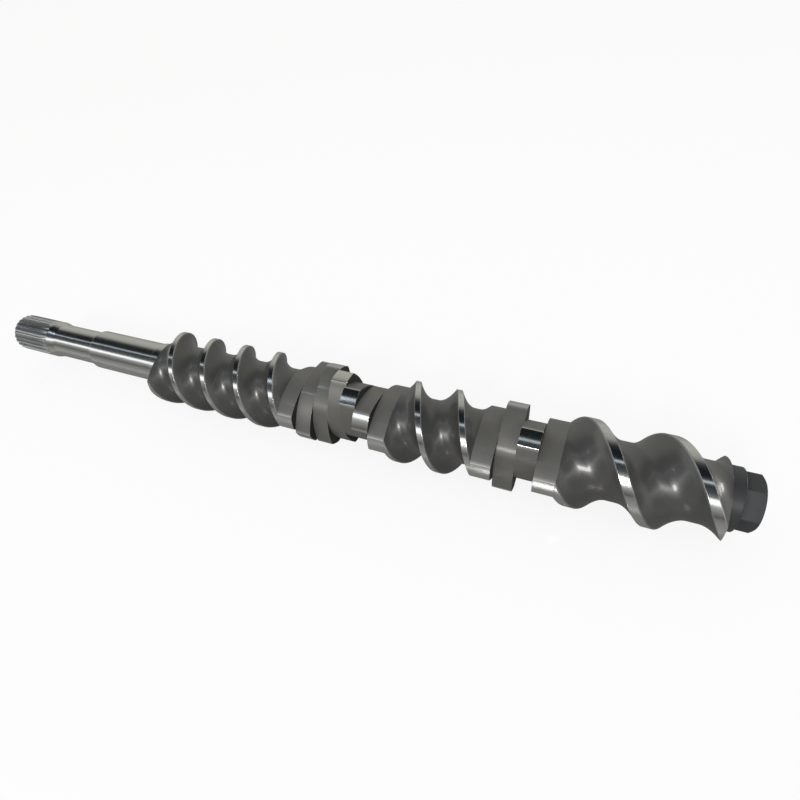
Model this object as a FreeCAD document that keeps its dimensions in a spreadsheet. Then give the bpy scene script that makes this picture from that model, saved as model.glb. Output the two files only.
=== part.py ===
"""Screw of a co-rotating twin-screw extruder, built as it is assembled.

A splined shaft carries a stack of two-lobe elements: conveying elements, whose section is
turned along the axis like a thread, and kneading blocks, made of straight discs each turned
from the one before. A heavy washer and a hexagon bolt in the shaft's end clamp the stack
against the shaft's collar. The screw lies on its tips: its axis runs along +X from the drive
spline to the bolt, at one tip radius above the floor (z = 0), with the origin on the floor
halfway along its length.

Every sub-part is modelled with its own axis along its local Z and is then laid along X.
"""
import FreeCAD, Part
import math
import os

import Sketcher

# alias, value, meaning (mm and degrees)
SIZES = [
    ("tip_diameter", 71, "outside diameter over the tips"),
    ("root_diameter", 47, "diameter at the roots of the two-lobe section"),
    ("first_tip_angle", 174, "direction of a tip where the stack starts, from +Y towards +Z"),
    ("feed_pitch", 72, "lead of the conveying elements before the outlet"),
    ("feed_length", 72, "length of each of those elements"),
    ("outlet_pitch", 112, "lead of the last conveying element"),
    ("outlet_length", 112, "length of the last conveying element"),
    ("fine_knead_length", 100, "length of the kneading block with the small stagger"),
    ("fine_knead_discs", 7, "its number of discs"),
    ("fine_knead_stagger", 30, "turn from one of its discs to the next"),
    ("coarse_knead_length", 64, "length of the kneading block with the large stagger"),
    ("coarse_knead_discs", 4, "its number of discs"),
    ("coarse_knead_stagger", 60, "turn from one of its discs to the next"),
    ("spline_diameter", 36, "pitch diameter of the drive spline and of the spline under the elements"),
    ("spline_teeth", 24, "teeth of each spline"),
    ("spline_flank_angle", 30, "angle between a tooth flank and the radius through its gap"),
    ("tooth_rise", 0.85, "height of the shaft's teeth above the pitch circle"),
    ("tooth_fall", 0.7, "depth of the gaps between them below the pitch circle"),
    ("spline_clearance", 0.12, "play of an element's splined bore on the shaft, all round"),
    ("hob_radius", 32, "radius of the hob that leaves the run-out of the drive spline"),
    ("drive_spline_length", 37, "length of full tooth depth at the drive end"),
    ("spline_land", 2.2, "plain land between the run-out and the taper"),
    ("taper_length", 8, "length of the taper from the land down to the neck"),
    ("neck_length", 51.5, "length of the neck"),
    ("neck_relief", 0.3, "depth of the neck below the tooth gaps"),
    ("journal_length", 79, "length of the ground journal"),
    ("journal_step", 0.65, "height of the journal above the teeth, so that a seal slides over them"),
    ("collar_length", 11, "length of the collar that the elements bear on"),
    ("collar_step", 1.65, "height of the collar above the teeth"),
    ("relief_length", 5, "length of the run-out groove between collar and inner spline"),
    ("relief_depth", 0.2, "depth of that groove below the tooth gaps"),
    ("shaft_chamfer", 1.5, "chamfer at both ends of the shaft and at the end of the bolt"),
    ("edge_chamfer", 0.5, "chamfer at the mouths of the bores and on the collar"),
    ("centre_hole_radius", 5, "mouth of the centre hole in the drive end"),
    ("shaft_setback", 3, "distance from the end of the shaft to the end of the stack"),
    ("washer_thickness", 8.5, "thickness of the clamping washer"),
    ("washer_chamfer", 0.6, "chamfer on the washer's outer edges"),
    ("washer_clearance", 0.5, "play of the bolt in the washer"),
    ("bolt_radius", 12, "radius over the bolt's thread"),
    ("thread_clearance", 0.05, "play of the bolt in the shaft's tapped hole"),
    ("bolt_engagement", 45, "length of bolt inside the shaft"),
    ("bolt_hole_spare", 8, "depth of the tapped hole beyond the end of the bolt"),
    ("hex_across_flats", 37, "width of the bolt's head across its flats"),
    ("hex_corner_angle", 44, "direction of a corner of the head, from +Y towards +Z"),
    ("head_height", 13.5, "height of the bolt's head"),
    ("crown_inset", 0.4, "distance from the head's flats to the edge of its flat crown"),
    ("crown_slope", 30, "slope of the chamfer outside that crown"),
]

# lengths and angles that follow from the sheet, as expressions
TIP_RADIUS = "(sizes.tip_diameter / 2)"
ROOT_RADIUS = "(sizes.root_diameter / 2)"
WIPE_RADIUS = f"({TIP_RADIUS} + {ROOT_RADIUS})"
HALF_TIP_ANGLE = f"(45 deg - acos({WIPE_RADIUS} / sizes.tip_diameter))"

PITCH_RADIUS = "(sizes.spline_diameter / 2)"
TOOTH_TIP = f"({PITCH_RADIUS} + sizes.tooth_rise)"
TOOTH_ROOT = f"({PITCH_RADIUS} - sizes.tooth_fall)"
TOOTH_TURN = "(180 / sizes.spline_teeth)"
HALF_GAP = f"(pi * {PITCH_RADIUS} / sizes.spline_teeth / 2)"
GAP_SLOPE = "tan(sizes.spline_flank_angle)"
TOOTH_SLOPE = f"(0 - tan(sizes.spline_flank_angle - {TOOTH_TURN}))"
BORE_RADIUS = f"({TOOTH_ROOT} + sizes.spline_clearance)"
GROOVE_RADIUS = f"({TOOTH_TIP} + sizes.spline_clearance)"
MOUTH_RADIUS = f"({GROOVE_RADIUS} + sizes.edge_chamfer)"
HUB_RADIUS = f"(({MOUTH_RADIUS} + {ROOT_RADIUS}) / 2)"

NECK_RADIUS = f"({TOOTH_ROOT} - sizes.neck_relief)"
JOURNAL_RADIUS = f"({TOOTH_TIP} + sizes.journal_step)"
COLLAR_RADIUS = f"({TOOTH_TIP} + sizes.collar_step)"
TOOTH_DEPTH = "(sizes.tooth_rise + sizes.tooth_fall)"
RUN_OUT = f"sqrt(2 * sizes.hob_radius * {TOOTH_DEPTH} - {TOOTH_DEPTH} * {TOOTH_DEPTH})"
LAND_END = f"(sizes.drive_spline_length + {RUN_OUT} + sizes.spline_land)"
NECK_START = f"({LAND_END} + sizes.taper_length)"
NECK_END = f"({NECK_START} + sizes.neck_length)"
JOURNAL_START = f"({NECK_END} + {JOURNAL_RADIUS} - {NECK_RADIUS})"
COLLAR_START = f"({JOURNAL_START} + sizes.journal_length)"
STACK_START = f"({COLLAR_START} + sizes.collar_length)"
STACK_END = (f"({STACK_START} + 3 * sizes.feed_length + sizes.fine_knead_length"
             " + sizes.coarse_knead_length + sizes.outlet_length)")
SHAFT_END = f"({STACK_END} - sizes.shaft_setback)"
HEAD_SEAT = f"({STACK_END} + sizes.washer_thickness)"
TOTAL_LENGTH = f"({HEAD_SEAT} + sizes.head_height)"

ALONG_X = FreeCAD.Rotation(FreeCAD.Vector(1, 1, 1), 120)    # local Z to X, X to Y, Y to Z
OVERSHOOT = 1                                               # a cut starts this far outside
CENTRE_HALF_ANGLE = 30                                      # half the angle of a centre hole
DRILL_HALF_ANGLE = 59                                       # half the angle of a drill's point
ORIGIN = (-1, 1)                                            # a sketch's origin point
H_AXIS, V_AXIS = -1, -2                                     # a sketch's own axes

doc = FreeCAD.newDocument("extruder_screw")
sheet = doc.addObject("Spreadsheet::Sheet", "sizes")


def fill_sheet():
    """Write each size as a plain number with its alias, and what it means beside it."""
    for row, (alias, number, meaning) in enumerate(SIZES, start=1):
        sheet.set(f"A{row}", alias)
        sheet.set(f"B{row}", str(number))
        sheet.setAlias(f"B{row}", alias)
        sheet.set(f"C{row}", meaning)
    doc.recompute()


def value(expression):
    """Number that an expression over the sheet has now, in mm or degrees."""
    result = sheet.evalExpression(expression)
    return getattr(result, "Value", result)


def new_body(name, start):
    """Body named after its sub-part, laid along X with its local z = 0 at a distance start
    from the drive end."""
    body = doc.addObject("PartDesign::Body", name)
    body.Label = name
    body.Placement = FreeCAD.Placement(FreeCAD.Vector(), ALONG_X)
    body.setExpression(".Placement.Base.x", f"({start}) - {TOTAL_LENGTH} / 2")
    body.setExpression(".Placement.Base.z", TIP_RADIUS)
    return body


def new_sketch(body, name, role="XY_Plane", station="0", turn="0"):
    """Sketch on one of the body's own planes, moved along the plane's normal to a station
    and turned about it."""
    sketch = body.newObject("Sketcher::SketchObject", f"{body.Name}_{name}")
    plane = next(item for item in body.Origin.OriginFeatures if item.Role == role)
    sketch.AttachmentSupport = [(plane, "")]
    sketch.MapMode = "FlatFace"
    sketch.AttachmentOffset = FreeCAD.Placement(
        FreeCAD.Vector(), FreeCAD.Rotation(FreeCAD.Vector(0, 0, 1), 0))
    if station != "0":
        sketch.setExpression(".AttachmentOffset.Base.z", station)
    if turn != "0":
        sketch.setExpression(".AttachmentOffset.Rotation.Angle", turn)
    return sketch


def bind(sketch, kind, *arguments):
    """Add a dimension whose size is an expression over the sheet, the last argument."""
    *references, expression = arguments
    index = sketch.addConstraint(Sketcher.Constraint(kind, *references, value(expression)))
    sketch.setExpression(f"Constraints[{index}]", expression)


def place_point(sketch, geometry, end, across, up):
    """Fix one end of a line at two distances from the sketch's origin."""
    for kind, distance, axis in (("DistanceX", across, V_AXIS), ("DistanceY", up, H_AXIS)):
        if distance == "0":
            sketch.addConstraint(Sketcher.Constraint("PointOnObject", geometry, end, axis))
        else:
            bind(sketch, kind, *ORIGIN, geometry, end, distance)


def draw_outline(sketch, corners):
    """Closed outline of straight lines through corners given as pairs of expressions."""
    points = [FreeCAD.Vector(value(across), value(up), 0) for across, up in corners]
    count = len(points)
    for index in range(count):
        line = Part.LineSegment(points[index], points[(index + 1) % count])
        sketch.addGeometry(line, False)
    for index, (across, up) in enumerate(corners):
        sketch.addConstraint(
            Sketcher.Constraint("Coincident", index - 1 if index else count - 1, 2, index, 1))
        place_point(sketch, index, 1, across, up)


def draw_circle(sketch, radius, construction=False):
    """Circle about the sketch's origin."""
    circle = sketch.addGeometry(
        Part.Circle(FreeCAD.Vector(), FreeCAD.Vector(0, 0, 1), value(radius)), construction)
    sketch.addConstraint(Sketcher.Constraint("Coincident", circle, 3, *ORIGIN))
    bind(sketch, "Radius", circle, radius)
    return circle


def revolve(body, name, corners, cut=False):
    """Turned form: an outline of (radius, station) corners revolved about the body's axis."""
    sketch = new_sketch(body, f"{name}_outline", "XZ_Plane")
    draw_outline(sketch, corners)
    kind = "PartDesign::Groove" if cut else "PartDesign::Revolution"
    feature = body.newObject(kind, f"{body.Name}_{name}")
    feature.Profile = sketch
    feature.ReferenceAxis = (sketch, ["V_Axis"])
    feature.Angle = 360
    return feature


def polar_pattern(body, feature, count):
    """Repeat a feature all round the body's axis."""
    pattern = body.newObject("PartDesign::PolarPattern", f"{feature.Name}_ring")
    pattern.Originals = [feature]
    pattern.Axis = (next(item for item in body.Origin.OriginFeatures if item.Role == "Z_Axis"),
                    [""])
    pattern.Angle = 360
    pattern.setExpression("Occurrences", count)
    body.Tip = pattern
    return pattern


def pad(body, name, sketch, length):
    """Straight extrusion of a sketch along the body's axis."""
    feature = body.newObject("PartDesign::Pad", f"{body.Name}_{name}")
    feature.Profile = sketch
    feature.setExpression("Length", length)
    return feature


def pocket_up(body, name, sketch, length):
    """Straight cut from a sketch's plane towards the body's +Z end."""
    feature = body.newObject("PartDesign::Pocket", f"{body.Name}_{name}")
    feature.Profile = sketch
    feature.Reversed = True
    feature.setExpression("Length", length)
    return feature


# ---------------------------------------------------------------- the two-lobe section

def draw_lobes(sketch):
    """Self-wiping two-lobe section.

    Two tip arcs (tip radius) and two root arcs (root radius) about the axis are joined by
    four flanks. The tip edge of the twin screw sweeps each flank, so a flank is an arc whose
    radius is the wiping distance, tangent to the root arc at its lower end.
    """
    tip, root, wipe = value(TIP_RADIUS), value(ROOT_RADIUS), value(WIPE_RADIUS)
    half_tip = math.radians(value(HALF_TIP_ANGLE))
    flank_span = math.pi / 2 - 2 * half_tip

    def at(radius, angle):
        return FreeCAD.Vector(radius * math.cos(angle), radius * math.sin(angle), 0)

    def flank_middle(root_edge, side):
        """Point halfway round a flank that leaves its root edge towards one side."""
        centre = at(-tip, root_edge)
        half_sweep = math.atan2(tip * math.sin(flank_span), tip + tip * math.cos(flank_span)) / 2
        return centre + at(wipe, root_edge + side * half_sweep)

    for lobe in (0, math.pi):
        root_start = lobe + math.pi / 2 - half_tip
        root_end = lobe + math.pi / 2 + half_tip
        for start, middle, end in (
                (at(tip, lobe - half_tip), at(tip, lobe), at(tip, lobe + half_tip)),
                (at(tip, lobe + half_tip), flank_middle(root_start, -1), at(root, root_start)),
                (at(root, root_start), at(root, lobe + math.pi / 2), at(root, root_end)),
                (at(root, root_end), flank_middle(root_end, 1), at(tip, lobe + math.pi - half_tip))):
            sketch.addGeometry(Part.Arc(start, middle, end), False)

    # arcs 0 to 7: tip, flank, root, flank, tip, flank, root, flank, anticlockwise
    for arc, radius in ((0, TIP_RADIUS), (2, ROOT_RADIUS), (4, TIP_RADIUS), (6, ROOT_RADIUS)):
        sketch.addConstraint(Sketcher.Constraint("Coincident", arc, 3, *ORIGIN))
        bind(sketch, "Radius", arc, radius)
    for flank in (1, 3, 5, 7):
        bind(sketch, "Radius", flank, WIPE_RADIUS)
    for arc in range(8):
        following = (arc + 1) % 8
        kind = "Coincident" if 0 in (arc % 4, following % 4) else "Tangent"
        sketch.addConstraint(Sketcher.Constraint(kind, arc, 2, following, 1))
    half_land = f"{TIP_RADIUS} * sin({HALF_TIP_ANGLE})"
    bind(sketch, "DistanceY", *ORIGIN, 0, 2, half_land)
    bind(sketch, "DistanceY", 0, 1, *ORIGIN, half_land)
    bind(sketch, "DistanceY", *ORIGIN, 4, 1, half_land)
    bind(sketch, "DistanceY", 4, 2, *ORIGIN, half_land)
    draw_circle(sketch, f"({HUB_RADIUS} + {MOUTH_RADIUS}) / 2")


# ---------------------------------------------------------------- splines

def draw_tooth_space(sketch, inner, outer, play, slope):
    """Trapezium on the +X radius between two radii, for the gap between two teeth. Its half
    width is that of a tooth gap on the pitch circle, plus a play, and grows outwards by the
    slope."""
    def half_width(radius):
        return f"({HALF_GAP} + {play} + ({radius} - {PITCH_RADIUS}) * {slope})"

    corners = [(inner, 1), (outer, 1), (outer, -1), (inner, -1)]
    points = [FreeCAD.Vector(value(radius), side * value(half_width(radius)), 0)
              for radius, side in corners]
    for index in range(4):
        sketch.addGeometry(Part.LineSegment(points[index], points[(index + 1) % 4]), False)
    for index in range(4):
        sketch.addConstraint(Sketcher.Constraint("Coincident", index, 2, (index + 1) % 4, 1))
    for index, radius in enumerate((inner, outer)):
        place_point(sketch, index, 1, radius, half_width(radius))
    sketch.addConstraint(Sketcher.Constraint("Symmetric", 0, 2, 2, 1, H_AXIS))
    sketch.addConstraint(Sketcher.Constraint("Symmetric", 0, 1, 2, 2, H_AXIS))


def make_hub(body, length):
    """Tube inside an element, with the bore that slides on the shaft's inner spline and a
    chamfer at each mouth. The lobes are added round it, with a hole a little smaller than
    the tube, so that the two become one solid."""
    tube = new_sketch(body, "hub_circles")
    draw_circle(tube, HUB_RADIUS)
    draw_circle(tube, BORE_RADIUS)
    pad(body, "hub", tube, length)

    space = new_sketch(body, "bore_space", turn=TOOTH_TURN)
    draw_tooth_space(space, f"({BORE_RADIUS} - {OVERSHOOT})", GROOVE_RADIUS,
                     "sizes.spline_clearance", TOOTH_SLOPE)
    cut = pocket_up(body, "bore_groove", space, length)
    doc.recompute()
    polar_pattern(body, cut, "sizes.spline_teeth")
    revolve(body, "near_mouth", [("0", "0"), (MOUTH_RADIUS, "0"), ("0", MOUTH_RADIUS)], cut=True)
    revolve(body, "far_mouth",
            [("0", length), (MOUTH_RADIUS, length), ("0", f"({length} - {MOUTH_RADIUS})")],
            cut=True)
    doc.recompute()


# ---------------------------------------------------------------- the sub-parts

def make_shaft():
    """Turned shaft: drive spline, neck, journal, collar and the splined part that carries
    the elements, with a centre hole in one end and a tapped hole in the other."""
    body = new_body("screw_shaft", "0")
    relief_radius = f"({TOOTH_ROOT} - sizes.relief_depth)"
    relief_end = f"({STACK_START} + sizes.relief_length)"
    end_radius = f"({TOOTH_TIP} - sizes.shaft_chamfer)"
    revolve(body, "turning", [
        ("0", "0"),
        (end_radius, "0"),
        (TOOTH_TIP, "sizes.shaft_chamfer"),
        (TOOTH_TIP, LAND_END),
        (NECK_RADIUS, NECK_START),
        (NECK_RADIUS, NECK_END),
        (JOURNAL_RADIUS, JOURNAL_START),
        (JOURNAL_RADIUS, COLLAR_START),
        (f"({COLLAR_RADIUS} - sizes.edge_chamfer)", COLLAR_START),
        (COLLAR_RADIUS, f"({COLLAR_START} + sizes.edge_chamfer)"),
        (COLLAR_RADIUS, STACK_START),
        (relief_radius, STACK_START),
        (relief_radius, relief_end),
        (TOOTH_TIP, relief_end),
        (TOOTH_TIP, f"({SHAFT_END} - sizes.shaft_chamfer)"),
        (end_radius, SHAFT_END),
        ("0", SHAFT_END),
    ])
    centre_depth = f"(sizes.centre_hole_radius / tan({CENTRE_HALF_ANGLE}))"
    revolve(body, "centre_hole",
            [("0", "0"), ("sizes.centre_hole_radius", "0"), ("0", centre_depth)], cut=True)

    tapped_radius = "(sizes.bolt_radius + sizes.thread_clearance)"
    tapped_end = f"({SHAFT_END} - sizes.bolt_engagement - sizes.bolt_hole_spare)"
    revolve(body, "tapped_hole", [
        ("0", SHAFT_END),
        (f"({tapped_radius} + sizes.edge_chamfer)", SHAFT_END),
        (tapped_radius, f"({SHAFT_END} - sizes.edge_chamfer)"),
        (tapped_radius, tapped_end),
        ("0", f"({tapped_end} - {tapped_radius} / tan({DRILL_HALF_ANGLE}))"),
    ], cut=True)
    doc.recompute()
    cut_drive_spline(body)
    cut_inner_spline(body)
    return body


def cut_drive_spline(body):
    """Tooth gaps of the drive spline: a straight run, then the arc that the hob leaves where
    it lifts out of the shaft."""
    outer = f"({TOOTH_TIP} + {OVERSHOOT})"
    space = new_sketch(body, "drive_space")
    draw_tooth_space(space, TOOTH_ROOT, outer, "0", GAP_SLOPE)

    root, run = value(TOOTH_ROOT), value("sizes.drive_spline_length")
    hob = value("sizes.hob_radius")
    lift = math.acos(1 - (value(outer) - root) / hob)
    path = new_sketch(body, "drive_path", "XZ_Plane")
    lift_start = FreeCAD.Vector(root, run, 0)
    lift_middle, lift_end = (
        FreeCAD.Vector(root + hob * (1 - math.cos(angle)), run + hob * math.sin(angle), 0)
        for angle in (lift / 2, lift))
    path.addGeometry(Part.LineSegment(FreeCAD.Vector(root, 0, 0), lift_start), False)
    path.addGeometry(Part.Arc(lift_start, lift_middle, lift_end), False)
    place_point(path, 0, 1, TOOTH_ROOT, "0")
    place_point(path, 0, 2, TOOTH_ROOT, "sizes.drive_spline_length")
    # an arc runs anticlockwise about its centre, so its end may be where the hob starts to lift
    flipped = not path.Geometry[1].StartPoint.isEqual(lift_start, 1e-6)
    near_end, far_end = (2, 1) if flipped else (1, 2)
    path.addConstraint(Sketcher.Constraint("Tangent", 0, 2, 1, near_end))
    bind(path, "Radius", 1, "sizes.hob_radius")
    bind(path, "DistanceX", *ORIGIN, 1, far_end, outer)

    cut = body.newObject("PartDesign::SubtractivePipe", "screw_shaft_drive_gap")
    cut.Profile = (space, [""])
    cut.Spine = (path, [""])
    doc.recompute()
    polar_pattern(body, cut, "sizes.spline_teeth")


def cut_inner_spline(body):
    """Straight tooth gaps under the elements, from the run-out groove to the shaft's end."""
    start = f"({STACK_START} + sizes.relief_length / 2)"
    space = new_sketch(body, "inner_space", station=start)
    draw_tooth_space(space, TOOTH_ROOT, f"({TOOTH_TIP} + {OVERSHOOT})", "0", GAP_SLOPE)
    cut = pocket_up(body, "inner_gap", space, f"({SHAFT_END} - {start})")
    doc.recompute()
    polar_pattern(body, cut, "sizes.spline_teeth")


def make_conveying_element(name, start, turn, pitch, length):
    """Conveying element: the two-lobe section in a right-handed screw motion."""
    body = new_body(name, start)
    make_hub(body, length)
    section = new_sketch(body, "section", turn=turn)
    draw_lobes(section)
    spine = new_sketch(body, "spine", "XZ_Plane")
    spine.addGeometry(Part.LineSegment(FreeCAD.Vector(), FreeCAD.Vector(0, value(length), 0)), False)
    spine.addConstraint(Sketcher.Constraint("Coincident", 0, 1, *ORIGIN))
    place_point(spine, 0, 2, "0", length)

    guide = doc.addObject("Part::Helix", f"{name}_guide")
    guide.setExpression("Pitch", pitch)
    guide.setExpression("Height", length)
    guide.setExpression("Radius", TIP_RADIUS)
    flights = body.newObject("PartDesign::AdditivePipe", f"{name}_flights")
    flights.Profile = (section, [""])
    flights.Spine = (spine, [""])
    flights.Mode = "Auxiliary"
    flights.AuxiliarySpine = (guide, [""])
    flights.AuxiliaryCurvilinear = True
    return body


def make_kneading_block(name, start, turn, length, discs, stagger):
    """Kneading block: straight discs of the two-lobe section, each turned from the last."""
    body = new_body(name, start)
    make_hub(body, length)
    width = f"({length} / {discs})"
    for index in range(round(value(discs))):
        section = new_sketch(body, f"section_{index + 1}", station=f"{index} * {width}",
                             turn=f"{turn} + {index} * {stagger}")
        draw_lobes(section)
        pad(body, f"disc_{index + 1}", section, width)
    return body


def make_washer():
    """Heavy washer that clamps the stack and covers the shaft's end."""
    body = new_body("clamp_washer", STACK_END)
    hole = "(sizes.bolt_radius + sizes.washer_clearance)"
    rim = ROOT_RADIUS
    edge = f"({rim} - sizes.washer_chamfer)"
    revolve(body, "ring", [
        (hole, "0"), (edge, "0"), (rim, "sizes.washer_chamfer"),
        (rim, "(sizes.washer_thickness - sizes.washer_chamfer)"),
        (edge, "sizes.washer_thickness"), (hole, "sizes.washer_thickness"),
    ])
    return body


def make_bolt():
    """Hexagon bolt in the shaft's end, with a chamfered crown."""
    shank = "(sizes.washer_thickness + sizes.shaft_setback + sizes.bolt_engagement)"
    top = f"({shank} + sizes.head_height)"
    body = new_body("tip_bolt", f"{HEAD_SEAT} - {shank}")
    revolve(body, "shank", [
        ("0", "0"), ("(sizes.bolt_radius - sizes.shaft_chamfer)", "0"),
        ("sizes.bolt_radius", "sizes.shaft_chamfer"), ("sizes.bolt_radius", shank),
        ("0", shank),
    ])
    corner = "(sizes.hex_across_flats / 2 / cos(30))"
    hexagon = new_sketch(body, "hexagon", station=shank, turn="sizes.hex_corner_angle")
    corners = [FreeCAD.Rotation(FreeCAD.Vector(0, 0, 1), 60 * index).multVec(
        FreeCAD.Vector(value(corner), 0, 0)) for index in range(6)]
    for index in range(6):
        hexagon.addGeometry(Part.LineSegment(corners[index], corners[(index + 1) % 6]), False)
    circle = draw_circle(hexagon, corner, construction=True)
    for index in range(6):
        hexagon.addConstraint(Sketcher.Constraint("Coincident", index, 2, (index + 1) % 6, 1))
        hexagon.addConstraint(Sketcher.Constraint("PointOnObject", index, 1, circle))
    for index in range(1, 6):
        hexagon.addConstraint(Sketcher.Constraint("Equal", 0, index))
    hexagon.addConstraint(Sketcher.Constraint("PointOnObject", 0, 1, H_AXIS))
    pad(body, "head", hexagon, "sizes.head_height")

    crown = "(sizes.hex_across_flats / 2 - sizes.crown_inset)"
    outside = f"({corner} + {OVERSHOOT})"
    drop = f"(({outside} - {crown}) * tan(sizes.crown_slope))"
    revolve(body, "head_chamfer",
            [(crown, top), (outside, f"({top} - {drop})"), (outside, top)], cut=True)
    return body


def make_stack():
    """The elements in the order they slide on. Each one starts where the last one ends, with
    its tips in line with the last one's."""
    feed = ("sizes.feed_pitch", "sizes.feed_length")
    outlet = ("sizes.outlet_pitch", "sizes.outlet_length")
    fine = ("sizes.fine_knead_length", "sizes.fine_knead_discs", "sizes.fine_knead_stagger")
    coarse = ("sizes.coarse_knead_length", "sizes.coarse_knead_discs",
              "sizes.coarse_knead_stagger")
    start, turn = STACK_START, "sizes.first_tip_angle"
    bodies = []
    for name, figures in (
            ("conveying_element_1", feed), ("conveying_element_2", feed),
            ("kneading_block_1", fine), ("conveying_element_3", feed),
            ("kneading_block_2", coarse), ("conveying_element_4", outlet)):
        if len(figures) == 2:
            pitch, length = figures
            bodies.append(make_conveying_element(name, start, turn, pitch, length))
            twist = f"360 * {length} / {pitch}"
        else:
            length, discs, stagger = figures
            bodies.append(make_kneading_block(name, start, turn, length, discs, stagger))
            twist = f"({discs} - 1) * {stagger}"
        start = f"{start} + {length}"
        turn = f"{turn} + {twist}"
    return bodies


def check_and_export(bodies):
    """Stop on any failed object or bad shape, then write one file for each sub-part."""
    doc.recompute()
    failed = [item.Name for item in doc.Objects if {"Invalid", "Error"} & set(item.State)]
    if failed:
        raise RuntimeError(f"objects that failed: {failed}")
    for body in bodies:
        shape = body.Shape
        if shape.isNull() or not shape.isValid() or len(shape.Solids) != 1:
            raise RuntimeError(f"{body.Label} isn't one valid solid")
    os.makedirs("parts", exist_ok=True)
    for body in bodies:
        body.Shape.exportStep(f"parts/{body.Label}.step")
        print(f"{body.Label}: {body.Shape.Volume / 1000:.1f} cm3, {len(body.Shape.Faces)} faces")


fill_sheet()
check_and_export([make_shaft(), *make_stack(), make_washer(), make_bolt()])
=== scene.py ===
"""Looks of a twin-screw extruder screw, laid out as an add-on.

The screw lies along +X with its axis one tip radius above the floor. Every piece is worked
out as a grid of points with numpy: rings round the axis, carried from station to station.
Directions round the axis are turned from +Y towards +Z. Lengths are metres.
"""

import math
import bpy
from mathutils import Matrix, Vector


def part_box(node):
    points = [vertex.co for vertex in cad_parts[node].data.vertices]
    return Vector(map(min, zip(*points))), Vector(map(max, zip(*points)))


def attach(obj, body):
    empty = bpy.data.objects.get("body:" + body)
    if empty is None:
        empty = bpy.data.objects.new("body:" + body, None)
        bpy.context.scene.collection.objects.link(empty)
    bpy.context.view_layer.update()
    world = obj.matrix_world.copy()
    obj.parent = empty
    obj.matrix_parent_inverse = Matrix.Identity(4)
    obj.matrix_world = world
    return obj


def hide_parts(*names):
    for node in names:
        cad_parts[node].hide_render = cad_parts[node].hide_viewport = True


bl_info = {
    "name": "Extruder screw",
    "version": (1, 0, 0),
    "blender": (4, 5, 0),
    "location": "3D View > Sidebar > Extruder screw",
    "description": "Splined shaft with two-lobe conveying elements and kneading blocks",
    "category": "Add Mesh",
}

import bpy
import numpy as np
from bpy.props import FloatProperty, FloatVectorProperty, IntProperty, PointerProperty
from mathutils import Matrix, Vector

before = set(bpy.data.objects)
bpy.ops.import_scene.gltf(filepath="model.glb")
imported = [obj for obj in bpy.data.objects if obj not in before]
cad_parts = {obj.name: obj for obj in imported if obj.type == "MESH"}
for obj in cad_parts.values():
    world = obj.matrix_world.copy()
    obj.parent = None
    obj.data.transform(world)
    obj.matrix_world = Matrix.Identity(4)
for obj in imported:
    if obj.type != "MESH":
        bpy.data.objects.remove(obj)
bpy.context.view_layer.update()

MM = 0.001
CONVEYING = ("conveying_element_1", "conveying_element_2", "conveying_element_3",
             "conveying_element_4")
KNEADING = ("kneading_block_1", "kneading_block_2")
STACK = ("conveying_element_1", "conveying_element_2", "kneading_block_1",
         "conveying_element_3", "kneading_block_2", "conveying_element_4")


RUN_OUT = 9.8 * MM       # length over which the gaps of the drive spline run out
RUN_OUT_RINGS = 13
GAP_END = 9.85 * MM      # just past the run-out, where the plain land starts
NO_GAP = 30 * MM         # a floor above every ring, where there is no gap
TOOTH_COLUMNS = 20       # points of a ring for each tooth
GAP_COLUMNS = 7          # faces at each side of a gap's middle that are hobbed, not ground

# long strips of card round the screw that steel mirrors: first and last direction, and shade
STRIP_DISTANCE = 3.4
STRIPS = (
    (-10, 5, (0.52, 0.52, 0.48)), (5, 18, (0.54, 0.54, 0.49)), (18, 36, (0.56, 0.555, 0.49)),
    (36, 48, (0.50, 0.50, 0.45)), (48, 56, (0.40, 0.405, 0.37)), (56, 62, (0.22, 0.23, 0.215)),
    (62, 68, (0.085, 0.09, 0.088)), (68, 76, (0.03, 0.033, 0.034)),
    (76, 102.5, (0.013, 0.016, 0.019)), (102.5, 107.5, (0.80, 0.92, 1.0)),
    (107.5, 117, (0.03, 0.036, 0.042)), (117, 128, (0.055, 0.064, 0.072)),
    (128, 138.5, (0.12, 0.13, 0.135)), (138.5, 152, (1.66, 1.7, 1.7)),
    (152, 160, (0.42, 0.43, 0.42)), (160, 168, (0.31, 0.315, 0.295)),
    (168, 174, (0.22, 0.222, 0.208)), (174, 181, (0.13, 0.133, 0.125)),
)


def span(node):
    """Station where a node starts and where it ends."""
    low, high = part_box(node)
    return low.x, high.x


TIP_RADIUS = (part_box("conveying_element_1")[1].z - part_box("conveying_element_1")[0].z) / 2
AXIS_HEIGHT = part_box("conveying_element_1")[0].z + TIP_RADIUS
DRIVE_END = span("screw_shaft")[0]


# ---------------------------------------------------------------- properties

def length(name, description, default):
    """Property for a size in metres."""
    return FloatProperty(name=name, description=description, default=default, min=0,
                         precision=5, subtype="DISTANCE", unit="LENGTH")


def turn(name, description, degrees):
    """Property for an angle."""
    return FloatProperty(name=name, description=description, default=math.radians(degrees),
                         subtype="ANGLE", unit="ROTATION")


def colour(name, description, default):
    """Property for a linear colour."""
    return FloatVectorProperty(name=name, description=description, default=default, size=3,
                               min=0, max=1, subtype="COLOR")


def share(name, description, default):
    """Property for a plain number between nought and one."""
    return FloatProperty(name=name, description=description, default=default, min=0, max=1,
                         subtype="FACTOR")


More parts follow.
